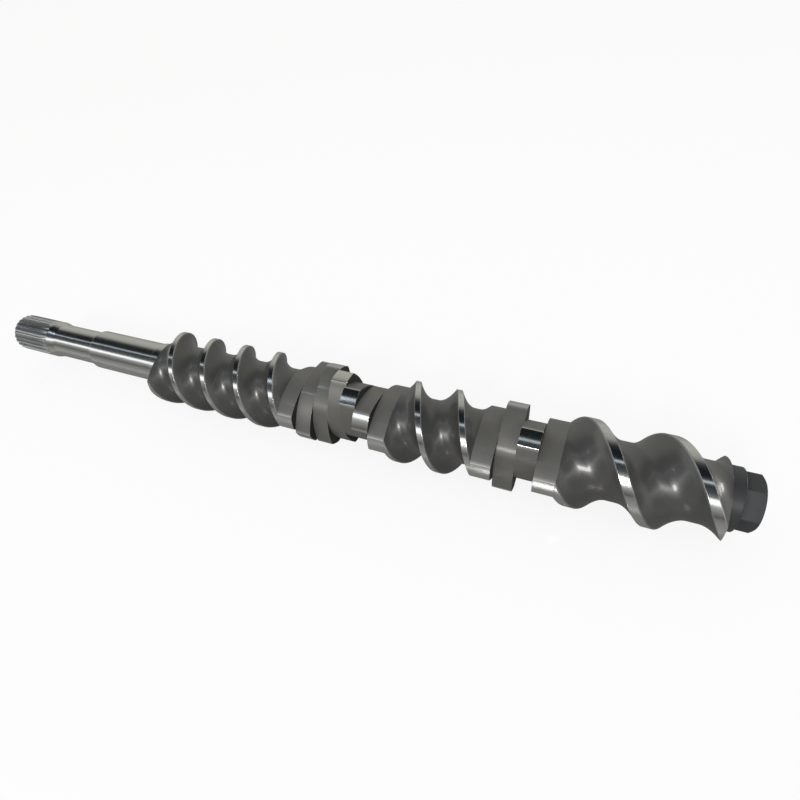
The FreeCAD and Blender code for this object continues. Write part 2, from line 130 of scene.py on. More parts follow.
class ScrewElementSizes(bpy.types.PropertyGroup):
    """Two-lobe section and how it turns along the stack."""
    root_radius: length("Root radius", "Radius of the section's waist", 23.5 * MM)
    bore_radius: length("Bore radius", "Radius of the bore on the shaft", 18.97 * MM)
    first_tip: turn("First tip", "Direction of a tip where the stack starts", 174)
    feed_lead: length("Feed lead", "Lead of the first three conveying elements", 72 * MM)
    outlet_lead: length("Outlet lead", "Lead of the last conveying element", 112 * MM)
    fine_discs: IntProperty(name="Fine discs", description="Discs of the first kneading block",
                            default=7, min=1)
    fine_stagger: turn("Fine stagger", "Turn between discs of the first block", 30)
    coarse_discs: IntProperty(name="Coarse discs",
                              description="Discs of the second kneading block", default=4, min=1)
    coarse_stagger: turn("Coarse stagger", "Turn between discs of the second block", 60)
    tip_edge: length("Tip edge", "Reach of the broken edge beside each land", 0.25 * MM)
    end_edge: length("End edge", "Reach of the broken edge round each end face", 0.15 * MM)


class ScrewShaftSizes(bpy.types.PropertyGroup):
    """Turned profile and splines of the shaft."""
    teeth: IntProperty(name="Teeth", description="Teeth of each spline", default=24, min=6)
    tooth_tip: length("Tooth tip", "Radius over the teeth", 18.85 * MM)
    tooth_root: length("Tooth root", "Radius at the bottom of the gaps", 17.3 * MM)
    gap_floor: length("Gap floor", "Half the width of a gap at its bottom", 0.774 * MM)
    flank: turn("Flank", "Slope of a tooth flank from the gap's middle line", 30)
    full_depth: length("Full depth", "Length of full tooth depth", 37 * MM)
    hob_radius: length("Hob radius", "Radius of the run-out of the gaps", 32 * MM)
    land_end: length("Land end", "Station where the taper starts", 49.04 * MM)
    taper: length("Taper", "Length of the taper to the neck", 8 * MM)
    neck_end: length("Neck end", "Station where the neck ends", 108.54 * MM)
    neck_radius: length("Neck radius", "Radius of the neck", 17 * MM)
    journal_radius: length("Journal radius", "Radius of the ground journal", 19.5 * MM)
    collar: length("Collar", "Length of the collar", 11 * MM)
    collar_radius: length("Collar radius", "Radius of the collar", 20.5 * MM)
    chamfer: length("Chamfer", "Chamfer at the shaft's ends", 1.5 * MM)
    centre_hole: length("Centre hole", "Radius of the centre hole's mouth", 5 * MM)
    edge: length("Edge", "Reach of each broken edge", 0.25 * MM)


class ScrewClampSizes(bpy.types.PropertyGroup):
    """Washer and bolt that hold the stack on the shaft."""
    washer_edge: length("Washer edge", "Reach of the washer's edges", 0.8 * MM)
    flats: length("Across flats", "Half the width across the head's flats", 18.5 * MM)
    corner: turn("Corner", "Direction of one corner of the head", 44)
    corner_edge: length("Corner edge", "Reach of the rounded corners", 0.7 * MM)
    crown: length("Crown", "Radius of the flat crown of the head", 18.1 * MM)
    crown_slope: turn("Crown slope", "Slope of the head's chamfer", 30)
    head: length("Head", "Height of the head", 13.5 * MM)
    shank: length("Shank", "Radius of the bolt's shank", 12 * MM)


class ScrewFinishes(bpy.types.PropertyGroup):
    """Colours and roughness of the steels."""
    flank: colour("Nitrided flank", "Colour of the satin flanks", (0.098, 0.097, 0.094))
    kneading: colour("Kneading disc", "Colour of the kneading discs", (0.155, 0.152, 0.14))
    ground: colour("Ground steel", "Colour of the ground tips and of the shaft",
                   (0.62, 0.62, 0.61))
    spline: colour("Spline steel", "Colour of the hobbed gaps", (0.42, 0.43, 0.44))
    # the disc faces are coloured darker than the discs: painted shade between the staggered
    # discs
    face: colour("Disc face", "Colour of the flat faces of the kneading discs",
                 (0.05, 0.05, 0.048))
    oxide: colour("Black oxide", "Colour of the washer and bolt", (0.034, 0.037, 0.04))
    flank_roughness: share("Flank roughness", "Roughness of the satin flanks", 0.36)
    ground_roughness: share("Ground roughness", "Roughness of the shaft", 0.17)
    tip_roughness: share("Tip roughness", "Roughness of the ground tips", 0.15)


class ScrewStageLook(bpy.types.PropertyGroup):
    """Camera and floor."""
    lens: FloatProperty(name="Lens", description="Focal length of the camera", default=24.533,
                        min=1, unit="CAMERA")
    eye: FloatVectorProperty(name="Eye", description="Place of the camera", size=3,
                             default=(0.23246, -0.27392, 0.38416), subtype="XYZ", unit="LENGTH")
    yaw: turn("Yaw", "Turn of the camera from +Y towards -X", 27.4348)
    pitch: turn("Pitch", "Tilt of the camera below level", 46.3392)
    roll: turn("Roll", "Roll of the camera", -7.8842)
    floor: colour("Floor", "Colour of the floor", (0.36, 0.357, 0.345))


# ---------------------------------------------------------------- lines and grids

def ease_corners(points, reach, steps=4):
    """Open line of (station, radius) corners, with each corner eased.

    A corner becomes the quadratic curve that leaves each side at the reach (or at a third of
    the side, if that is less) and has the corner as its control point. A point half a reach
    outside each end of the curve holds the side straight.
    """
    corners = np.asarray(points, float)
    before, after = corners[:-2] - corners[1:-1], corners[2:] - corners[1:-1]
    sides = [np.linalg.norm(side, axis=1, keepdims=True) for side in (before, after)]
    leave = [np.minimum(reach, size / 3) / size for size in sides]
    start, end = corners[1:-1] + before * leave[0], corners[1:-1] + after * leave[1]
    t = np.linspace(0, 1, steps + 1)[None, :, None]
    middle = corners[1:-1, None]
    curve = (1 - t) ** 2 * start[:, None] + 2 * t * (1 - t) * middle + t ** 2 * end[:, None]
    hold_start = (start + before * leave[0] / 2)[:, None]
    hold_end = (end + after * leave[1] / 2)[:, None]
    eased = np.concatenate([hold_start, curve, hold_end], axis=1).reshape(-1, 2)
    return np.concatenate([corners[:1], eased, corners[-1:]])


def ring_points(station, radius, angle):
    """Points at stations, radii and directions round the screw's axis: x is the station,
    y the radius times the cosine and z the axis height plus the radius times the sine."""
    station, radius, angle = np.broadcast_arrays(station, radius, angle)
    return np.stack([station, radius * np.cos(angle), AXIS_HEIGHT + radius * np.sin(angle)],
                    axis=-1)


def grid_faces(rows, columns, wrap_rows=False):
    """Corner indices of the quads of a grid whose columns close round the axis."""
    last = rows if wrap_rows else rows - 1
    row, column = np.meshgrid(np.arange(last), np.arange(columns), indexing="ij")
    below, right = (row + 1) % rows, (column + 1) % columns
    return np.stack([row * columns + column, row * columns + right,
                     below * columns + right, below * columns + column],
                    axis=-1).reshape(-1, 4)


def add_piece(name, shells, materials, node):
    """Mesh object of one or more shells, each a dictionary of a grid of points, its finish
    index for each face, and whether its rows close too. A shell whose rows don't close gets
    a pole at each end, in the middle of its end ring."""
    vertices, quads, poles, finishes, pole_finishes, marks = [], [], [], [], [], []
    offset = 0
    for shell in shells:
        points = shell["points"]
        rows, columns = points.shape[:2]
        faces = grid_faces(rows, columns, shell["wrap"]) + offset
        quads.append(faces)
        finishes.append(shell["finish"])
        vertices.append(points.reshape(-1, 3))
        marks.append(shell["wear_and_glint"].reshape(-1))
        size = rows * columns
        if not shell["wrap"]:
            ring = np.arange(columns)
            following = (ring + 1) % columns
            vertices.append(np.stack([points[0].mean(axis=0), points[-1].mean(axis=0)]))
            marks.append(np.zeros(2))
            first = np.stack([np.full(columns, size), following, ring], axis=1)
            base = (rows - 1) * columns
            last = np.stack([np.full(columns, size + 1), base + ring, base + following], axis=1)
            poles.append(np.concatenate([first, last]) + offset)
            pole_finishes.append(np.full(2 * columns, shell["pole_finish"]))
            size += 2
        offset += size
    mesh = bpy.data.meshes.new(name)
    corners = np.concatenate([part.reshape(-1) for part in quads + poles])
    counts = np.concatenate([np.full(len(part), part.shape[1]) for part in quads + poles])
    starts = np.concatenate([[0], np.cumsum(counts)[:-1]])
    mesh.vertices.add(offset)
    mesh.vertices.foreach_set("co", np.concatenate(vertices).astype(np.float32).reshape(-1))
    mesh.loops.add(len(corners))
    mesh.loops.foreach_set("vertex_index", corners.astype(np.int32))
    mesh.polygons.add(len(counts))
    mesh.polygons.foreach_set("loop_start", starts.astype(np.int32))
    mesh.polygons.foreach_set("material_index",
                              np.concatenate(finishes + pole_finishes).astype(np.int32))
    mesh.polygons.foreach_set("use_smooth", np.ones(len(counts), bool))
    # lighter marks at the broken edges: wear to bare steel, and also a painted highlight
    wear_and_glint = mesh.attributes.new("wear_and_glint", "FLOAT", "POINT")
    wear_and_glint.data.foreach_set("value", np.concatenate(marks).astype(np.float32))
    mesh.update(calc_edges=True)
    mesh.validate()
    for material in materials:
        mesh.materials.append(material)
    piece = bpy.data.objects.new(name, mesh)
    bpy.context.scene.collection.objects.link(piece)
    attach(piece, "root")
    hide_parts(node)
    return piece


# ---------------------------------------------------------------- the two-lobe section

def lobe_section(sizes, edge):
    """Directions, radii, marks of wear and painted highlight, and land mask of the
    two-lobe section, anticlockwise.

    Between the land at the tip radius and the waist at the root radius, a flank is an arc
    whose radius is the wiping distance (tip radius plus root radius). Its centre lies one tip
    radius from the axis, opposite the waist's near edge, so its polar radius is
    sqrt(wipe^2 - tip^2 sin^2) - tip cos of the direction measured from that edge. The corner
    between land and flank is eased over the reach of its broken edge.
    """
    tip, root = TIP_RADIUS, sizes.root_radius
    wipe = tip + root
    half_tip = math.pi / 4 - math.acos(wipe / (2 * tip))
    waist = math.pi / 2 - half_tip

    def flank(direction):
        off = direction - waist
        return np.sqrt(wipe ** 2 - (tip * np.sin(off)) ** 2) - tip * np.cos(off)

    reach = edge / tip
    land = np.linspace(0, half_tip - 2 * reach, 7)
    start, end = half_tip - reach, half_tip + 1.2 * reach
    t = np.linspace(0, 1, 5)
    a = np.array([start, tip])
    c = np.array([half_tip, tip])
    b = np.array([end, flank(end)])
    eased = np.outer((1 - t) ** 2, a) + np.outer(2 * t * (1 - t), c) + np.outer(t ** 2, b)
    slope = np.linspace(0, 1, 26)[1:] ** 1.15
    flank_angles = end + (waist - end) * slope
    hollow = np.linspace(waist, math.pi / 2, 7)[1:]
    angles = np.concatenate([land, eased[:, 0], flank_angles, hollow])
    radii = np.concatenate([np.full(7, tip), eased[:, 1], flank(flank_angles),
                            np.full(6, root)])
    # marks along the broken corner between land and flank: wear, and a painted highlight on the
    # tip edge
    wear_and_glint = np.concatenate([np.zeros(6), [0.3], [0.8, 1, 1, 1, 0.8], [0.3],
                           np.zeros(24 + 6)])
    is_land = angles < half_tip + 0.4 * reach
    # the quarter is mirrored about the waist, and the half is turned round once
    angles = np.concatenate([angles, math.pi - angles[-2::-1]])
    radii, wear_and_glint, is_land = (np.concatenate([part, part[-2::-1]])
                            for part in (radii, wear_and_glint, is_land))
    angles = np.concatenate([angles[:-1], math.pi + angles[:-1]])
    radii, wear_and_glint, is_land = (np.tile(part[:-1], 2) for part in (radii, wear_and_glint, is_land))
    return angles, radii, wear_and_glint, is_land


def section_shell(sizes, start, end, direction, lead, stations, face=0):
    """One closed shell of the two-lobe section from a start to an end station, turned by a
    full turn for each lead on the way, or not at all if the lead is nought.

    Its rows run out of the bore at the start, across the end face, over the broken edge,
    along the outside, back over the other edge and face, and home through the bore.
    """
    angles, radii, wear_and_glint, is_land = lobe_section(sizes, sizes.tip_edge)
    edge, size = sizes.end_edge, end - start
    t = np.linspace(0, 1, 5)
    # (station from the start, depth below the section, share of the way to the bore)
    across = [(0, edge, share) for share in (1, 0.6, 0.25, 0.03)]
    bevel = [(edge * step ** 2, edge * (1 - step) ** 2, 0) for step in t]
    along = [(edge + (size - 2 * edge) * step, 0, 0)
             for step in np.concatenate([[0.001], np.linspace(0, 1, stations)[1:-1], [0.999]])]
    near = np.array(across + bevel + along)
    far = np.array(across + bevel)[::-1] * [-1, 1, 1] + [size, 0, 0]
    bore = np.array([(size * step, edge, 1) for step in np.linspace(1, 0, 9)[1:-1]])
    rows = np.concatenate([near, far, bore])
    station, depth, share = (rows[:, index, None] for index in range(3))
    radius = (radii[None] - depth) * (1 - share) + sizes.bore_radius * share
    twist = 2 * math.pi * station / lead if lead else 0
    points = ring_points(start + station, radius, direction + twist + angles[None])
    outside = ((share == 0) & (depth < edge / 2))[:, 0]
    land = is_land & np.roll(is_land, -1)
    on_face = ((share > 0) | np.roll(share > 0, -1, axis=0))[:, 0]
    finish = np.where(outside[:, None] & land[None], 1, np.where(on_face[:, None], face, 0))
    # the bevels of the end edges get a lighter mark too: wear and painted highlight
    edges = np.where((share == 0) & (depth > 0), 0.4, 0.0)
    marks = np.maximum(np.where(share > 0, 0, wear_and_glint[None]), np.broadcast_to(edges, radius.shape))
    return {"points": points, "finish": finish.reshape(-1), "wrap": True, "wear_and_glint": marks}


def tip_direction(sizes, node):
    """Direction of a tip where an element starts. The tips of each element start in line with
    those at the end of the one before."""
    direction = sizes.first_tip
    for name in STACK[:STACK.index(node)]:
        start, end = span(name)
        if name in CONVEYING:
            direction += 2 * math.pi * (end - start) / element_lead(sizes, name)
        else:
            discs, stagger = block_discs(sizes, name)
            direction += (discs - 1) * stagger
    return direction


def element_lead(sizes, node):
    """Lead of a conveying element."""
    return sizes.outlet_lead if node == CONVEYING[-1] else sizes.feed_lead


def block_discs(sizes, node):
    """Number of discs of a kneading block and the turn between them."""
    if node == KNEADING[0]:
        return sizes.fine_discs, sizes.fine_stagger
    return sizes.coarse_discs, sizes.coarse_stagger


# ---------------------------------------------------------------- the shaft, washer and bolt

def shaft_rings(sizes, stack_start):
    """Stations, radii and directions of the shaft's rings.

    The profile line gives each ring's radius, and the gaps between the teeth are cut into it.
    A gap has a flat floor, two straight flanks and half a land at each side: a flank point's
    distance from the gap's middle line is the floor's half width plus its height times the
    tangent of the slope, and the flank ends where it meets the ring. Where the hob lifts out,
    the floor rises on an arc of the hob's radius.
    """
    tip, root, edge = sizes.tooth_tip, sizes.tooth_root, sizes.edge
    size = span("screw_shaft")[1] - DRIVE_END
    journal_start = sizes.neck_end + sizes.journal_radius - sizes.neck_radius
    collar_start = stack_start - DRIVE_END - sizes.collar
    stack = stack_start - DRIVE_END
    cone = sizes.centre_hole * math.sqrt(3)
    relief, groove = 5 * MM, tip - 1.75 * MM
    outline = ease_corners([
        (cone, 0.2 * MM), (0, sizes.centre_hole), (0, tip - sizes.chamfer),
        (sizes.chamfer, tip), (sizes.land_end, tip), (sizes.land_end + sizes.taper,
        sizes.neck_radius), (sizes.neck_end, sizes.neck_radius),
        (journal_start, sizes.journal_radius), (collar_start, sizes.journal_radius),
        (collar_start, sizes.collar_radius), (stack, sizes.collar_radius),
        (stack, groove), (stack + relief, groove), (stack + relief, tip),
        (size - sizes.chamfer, tip), (size, tip - sizes.chamfer), (size, 12 * MM)], edge)
    run_out = np.linspace(sizes.full_depth, sizes.full_depth + RUN_OUT, RUN_OUT_RINGS)
    extra = np.stack([run_out, np.full(RUN_OUT_RINGS, tip)], axis=1)
    first_land = np.flatnonzero(outline[:, 0] > 10 * MM)[0]
    outline = np.concatenate([outline[:first_land], extra, outline[first_land:]])
    station, radius = outline[:, 0, None], outline[:, 1, None]

    lift = np.clip(station - sizes.full_depth, 0, GAP_END)
    rise = sizes.hob_radius - np.sqrt(sizes.hob_radius ** 2 - lift ** 2)
    cut_here = (station < sizes.full_depth + GAP_END) | (station > stack + relief / 2)
    floor = np.where(cut_here, root + rise * (station < stack), NO_GAP)
    slope = math.tan(sizes.flank)
    across = sizes.gap_floor - floor * slope
    under = np.maximum((1 + slope ** 2) * radius ** 2 - across ** 2, 0)
    top = np.maximum((np.sqrt(under) - slope * across) / (1 + slope ** 2), floor + 0.25 * MM)
    rim = np.arctan2(sizes.gap_floor + (top - floor) * slope, top)
    half_pitch = math.pi / sizes.teeth

    t = np.array([0, 0.5, 0.85, 1])[None]
    on_floor = np.arctan2(t * sizes.gap_floor, floor), np.hypot(t * sizes.gap_floor, floor)
    t = np.array([0.12, 0.5, 0.88, 1])[None]
    height = floor + (top - floor) * t
    side = sizes.gap_floor + (height - floor) * slope
    on_flank = np.arctan2(side, height), np.hypot(side, height)
    t = np.array([0.12, 0.5, 1])[None]
    on_land = rim + (half_pitch - rim) * t, np.broadcast_to(radius, (len(radius), 3))
    angle = np.concatenate([on_floor[0], on_flank[0], on_land[0]], axis=1)
    ring = np.minimum(np.concatenate([on_floor[1], on_flank[1], on_land[1]], axis=1), radius)
    angle = np.concatenate([-angle[:, -2:0:-1], angle], axis=1)
    ring = np.concatenate([ring[:, -2:0:-1], ring], axis=1)
    pitch = 2 * half_pitch * np.arange(sizes.teeth)
    angle = (angle[:, None] + pitch[None, :, None]).reshape(len(radius), -1)
    ring = np.tile(ring, (1, sizes.teeth))
    return station, ring, angle


def turned_shell(outline, columns, finish=0):
    """Closed shell of a line of (station, radius) points turned round the axis."""
    angle = np.linspace(0, 2 * math.pi, columns, endpoint=False)
    points = ring_points(outline[:, 0, None], outline[:, 1, None], angle[None])
    count = len(outline) * columns
    return {"points": points, "finish": np.full(count, finish), "wrap": True,
            "wear_and_glint": np.zeros((len(outline), columns))}


def bolt_rows(sizes, start, end, angle):
    """Station and radius of each point of the bolt, ring by ring from the shank's end.

    The head's radius is half its width across the flats over the cosine of the direction from
    the middle of the nearest flat. A soft minimum eases it towards the circle through the
    rounded corners. The crown's chamfer falls in proportion to how far the head's radius
    stands out from the flat crown.
    """
    off = (angle + math.pi / 6) % (math.pi / 3) - math.pi / 6
    flat = sizes.flats / np.cos(off)
    corner = sizes.flats / math.cos(math.pi / 6) - 0.25 * sizes.corner_edge
    soft = 0.12 * MM
    hexagon = -soft * np.log(np.exp(-(flat - corner) / soft) + 1) + corner
    hexagon = np.minimum(hexagon, flat)
    fall = (hexagon - sizes.crown) * math.tan(sizes.crown_slope)
    seat, shoulder = end - sizes.head, end - fall
    crown = [(end, sizes.crown * part) for part in (0.2, 0.6, 0.9)]
    crown += [(end, sizes.crown + step * MM) for step in (-0.5, -0.25, 0)]
    slope = [(end - fall * step, sizes.crown + (hexagon - sizes.crown) * step)
             for step in (0.15, 0.3, 0.7, 0.9, 1)]
    sides = [(shoulder - step * MM, hexagon) for step in (0.2, 0.5, 3)]
    sides += [(seat + 0.3 * MM, hexagon), (seat, hexagon - 0.2 * MM), (seat, hexagon - 0.6 * MM)]
    shank = [(seat, sizes.shank + 0.3 * MM), (seat - 0.3 * MM, sizes.shank),
             (start + 1.5 * MM, sizes.shank), (start, 10.5 * MM), (start, 5 * MM)]
    rings = reversed(crown + slope + sides + shank)
    return np.stack([np.stack(np.broadcast_arrays(*ring, angle)[:2], axis=-1)
                     for ring in rings])


# ---------------------------------------------------------------- finishes

def link(tree, source, socket, target, name):
    """Join an output of one node to an input of another."""
    tree.links.new(source.outputs[socket], target.inputs[name])


def steel(name, base, roughness, spread, metallic=1.0, marks=(0, 0, 0), mark_depth=0.0,
          mottle=0.12, mottle_scale=60.0, worn_and_glint=(0.6, 0.6, 0.59), wear_and_glint=0.0, ground=0.0,
          oil=0.0):
    """Steel whose colour and roughness drift with a cloudy noise, with fine marks as a bump.

    The marks are a noise stretched along the axes that have a small scale. Where a piece's
    wear_and_glint attribute is high, the colour moves to a light bare steel, which is wear and
    also a painted highlight on the edges. Steel ground round the axis spreads a highlight along
    the axis. Oil is a thin clear film.
    """
    material = bpy.data.materials.new(name)
    material.use_nodes = True
    tree = material.node_tree
    shader = tree.nodes["Principled BSDF"]
    shader.inputs["Metallic"].default_value = metallic
    if ground:
        shader.inputs["Anisotropic"].default_value = ground
        shader.inputs["Anisotropic Rotation"].default_value = 0.25
        round_axis = tree.nodes.new("ShaderNodeTangent")
        round_axis.direction_type = "RADIAL"
        round_axis.axis = "X"
        link(tree, round_axis, "Tangent", shader, "Tangent")
    if oil:
        shader.inputs["Coat Weight"].default_value = oil
        shader.inputs["Coat Roughness"].default_value = 0.12
    place = tree.nodes.new("ShaderNodeTexCoord")

    cloud = tree.nodes.new("ShaderNodeTexNoise")
    cloud.inputs["Scale"].default_value = mottle_scale
    cloud.inputs["Detail"].default_value = 5
    cloud.inputs["Roughness"].default_value = 0.6
    link(tree, place, "Object", cloud, "Vector")
    drift = tree.nodes.new("ShaderNodeMix")
    drift.data_type = "RGBA"
    drift.inputs[6].default_value = (*(part * (1 - mottle) for part in base), 1)
    drift.inputs[7].default_value = (*(min(part * (1 + mottle), 1) for part in base), 1)
    link(tree, cloud, "Fac", drift, "Factor")
    colour_out = drift.outputs[2]
    # light bare steel where the wear_and_glint attribute is high: wear, and a painted highlight
    # on the edges
    if wear_and_glint:
        wear_and_glint_attribute = tree.nodes.new("ShaderNodeAttribute")
        wear_and_glint_attribute.attribute_name = "wear_and_glint"
        amount = tree.nodes.new("ShaderNodeMath")
        amount.operation = "MULTIPLY"
        link(tree, wear_and_glint_attribute, "Fac", amount, 0)
        amount.inputs[1].default_value = wear_and_glint
        bare_and_glint = tree.nodes.new("ShaderNodeMix")
        bare_and_glint.data_type = "RGBA"
        tree.links.new(amount.outputs[0], bare_and_glint.inputs["Factor"])
        tree.links.new(colour_out, bare_and_glint.inputs[6])
        bare_and_glint.inputs[7].default_value = (*worn_and_glint, 1)
        colour_out = bare_and_glint.outputs[2]
    tree.links.new(colour_out, shader.inputs["Base Color"])

    rough = tree.nodes.new("ShaderNodeMapRange")
    rough.inputs["To Min"].default_value = roughness - spread
    rough.inputs["To Max"].default_value = roughness + spread
    link(tree, cloud, "Fac", rough, "Value")
    link(tree, rough, "Result", shader, "Roughness")

    if mark_depth:
        stretch = tree.nodes.new("ShaderNodeMapping")
        stretch.inputs["Scale"].default_value = marks
        link(tree, place, "Object", stretch, "Vector")
        lines = tree.nodes.new("ShaderNodeTexNoise")
        lines.inputs["Scale"].default_value = 1
        lines.inputs["Detail"].default_value = 3
        link(tree, stretch, "Vector", lines, "Vector")
        bump = tree.nodes.new("ShaderNodeBump")
        bump.inputs["Strength"].default_value = 1
        bump.inputs["Distance"].default_value = mark_depth
        link(tree, lines, "Fac", bump, "Height")
        link(tree, bump, "Normal", shader, "Normal")
    return material


# ---------------------------------------------------------------- operators

class SCREW_OT_shaft(bpy.types.Operator):
    """Make the splined shaft with its neck, journal and collar"""
    bl_idname = "screw.shaft"
    bl_label = "Shaft"

    def execute(self, context):
        sizes, look = context.scene.screw_shaft_sizes, context.scene.screw_finishes
        ground = steel("ground_shaft", look.ground, look.ground_roughness, 0.03,
                       mottle=0.05)
        hobbed = steel("hobbed_teeth", look.spline, 0.34, 0.08, marks=(300, 2500, 2500),
                       mark_depth=2e-6, mottle=0.15)
        station, ring, angle = shaft_rings(sizes, span("conveying_element_1")[0])
        points = ring_points(DRIVE_END + station, ring, angle)
        middle = (TOOTH_COLUMNS - 1) / 2
        gap = np.tile(np.abs(np.arange(TOOTH_COLUMNS) - middle) < GAP_COLUMNS, sizes.teeth)
        cut = (station < sizes.full_depth + GAP_END)[:-1]
        finish = np.where(cut & gap[None], 1, 0).reshape(-1)
        add_piece("shaft", [{"points": points, "finish": finish, "wrap": False,
                             "pole_finish": 0, "wear_and_glint": np.zeros(ring.shape)}],
                  [ground, hobbed], "screw_shaft")
        return {"FINISHED"}


class SCREW_OT_conveying(bpy.types.Operator):
    """Make the conveying elements"""
    bl_idname = "screw.conveying"
    bl_label = "Conveying elements"

    def execute(self, context):
        sizes, look = context.scene.screw_element_sizes, context.scene.screw_finishes
        flank = steel("nitrided_flank", look.flank, look.flank_roughness, 0.06, metallic=0.5,
                      marks=(900, 900, 900), mark_depth=2e-6, mottle=0.14, wear_and_glint=0.5, oil=0.35)
        land = steel("ground_tip", look.ground, look.tip_roughness, 0.03,
                     mottle=0.06)
        for node in CONVEYING:
            start, end = span(node)
            lead = element_lead(sizes, node)
            shell = section_shell(sizes, start, end, tip_direction(sizes, node), lead,
                                  round(150 * (end - start) / lead))
            add_piece(node.replace("element", "flights"), [shell], [flank, land], node)
        return {"FINISHED"}


class SCREW_OT_kneading(bpy.types.Operator):
    """Make the kneading blocks"""
    bl_idname = "screw.kneading"
    bl_label = "Kneading blocks"

    def execute(self, context):
        sizes, look = context.scene.screw_element_sizes, context.scene.screw_finishes
        disc = steel("kneading_disc", look.kneading, 0.52, 0.06,
                     metallic=0.4, mottle=0.16, wear_and_glint=0.6, ground=0.5, oil=0.22)
        # darker colour of the disc faces: painted shade
        face = steel("disc_face_painted_shade", look.face, 0.45, 0.08, metallic=0.6, mottle=0.2, wear_and_glint=0.6)
        land = steel("ground_disc_tip", look.ground, look.tip_roughness, 0.03,
                     mottle=0.06)
        for node in KNEADING:
            start, end = span(node)
            discs, stagger = block_discs(sizes, node)
            direction, width = tip_direction(sizes, node), (end - start) / discs
            shells = [section_shell(sizes, start + index * width, start + (index + 1) * width,
                                    direction + index * stagger, 0, 4, face=2)
                      for index in range(discs)]
            add_piece(node.replace("block", "discs"), shells, [disc, land, face], node)
        return {"FINISHED"}


class SCREW_OT_washer(bpy.types.Operator):
    """Make the clamping washer"""
    bl_idname = "screw.washer"
    bl_label = "Washer"

    def execute(self, context):
        sizes, look = context.scene.screw_clamp_sizes, context.scene.screw_finishes
        oxide = steel("oxide_washer", look.oxide, 0.42, 0.08, metallic=0.0,
                      marks=(1200, 80, 80), mark_depth=3e-6, mottle=0.25)
        low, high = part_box("clamp_washer")
        rim, hole = (high.z - low.z) / 2, sizes.shank + 0.5 * MM
        start, end = low.x, high.x
        outline = ease_corners([(start, hole), (start, rim), (end, rim), (end, hole)],
                               sizes.washer_edge)
        shell = turned_shell(outline, 192)
        add_piece("washer", [shell], [oxide], "clamp_washer")
        return {"FINISHED"}


class SCREW_OT_bolt(bpy.types.Operator):
    """Make the hexagon bolt"""
    bl_idname = "screw.bolt"
    bl_label = "Bolt"

    def execute(self, context):
        sizes, look = context.scene.screw_clamp_sizes, context.scene.screw_finishes
        oxide = steel("oxide_bolt", look.oxide, 0.6, 0.08, metallic=0.0,
                      marks=(260, 260, 260), mark_depth=8e-6, mottle=0.3, wear_and_glint=0.25)
        angle = np.linspace(0, 2 * math.pi, 240, endpoint=False)
        rows = bolt_rows(sizes, *span("tip_bolt"), angle)
        points = ring_points(rows[..., 0], rows[..., 1],
                             angle[None] + sizes.corner + math.pi / 6)
        count = (len(rows) - 1) * len(angle)
        add_piece("bolt", [{"points": points, "finish": np.zeros(count), "wrap": False,
                            "pole_finish": 0, "wear_and_glint": np.zeros(rows.shape[:2])}],
                  [oxide], "tip_bolt")
        return {"FINISHED"}


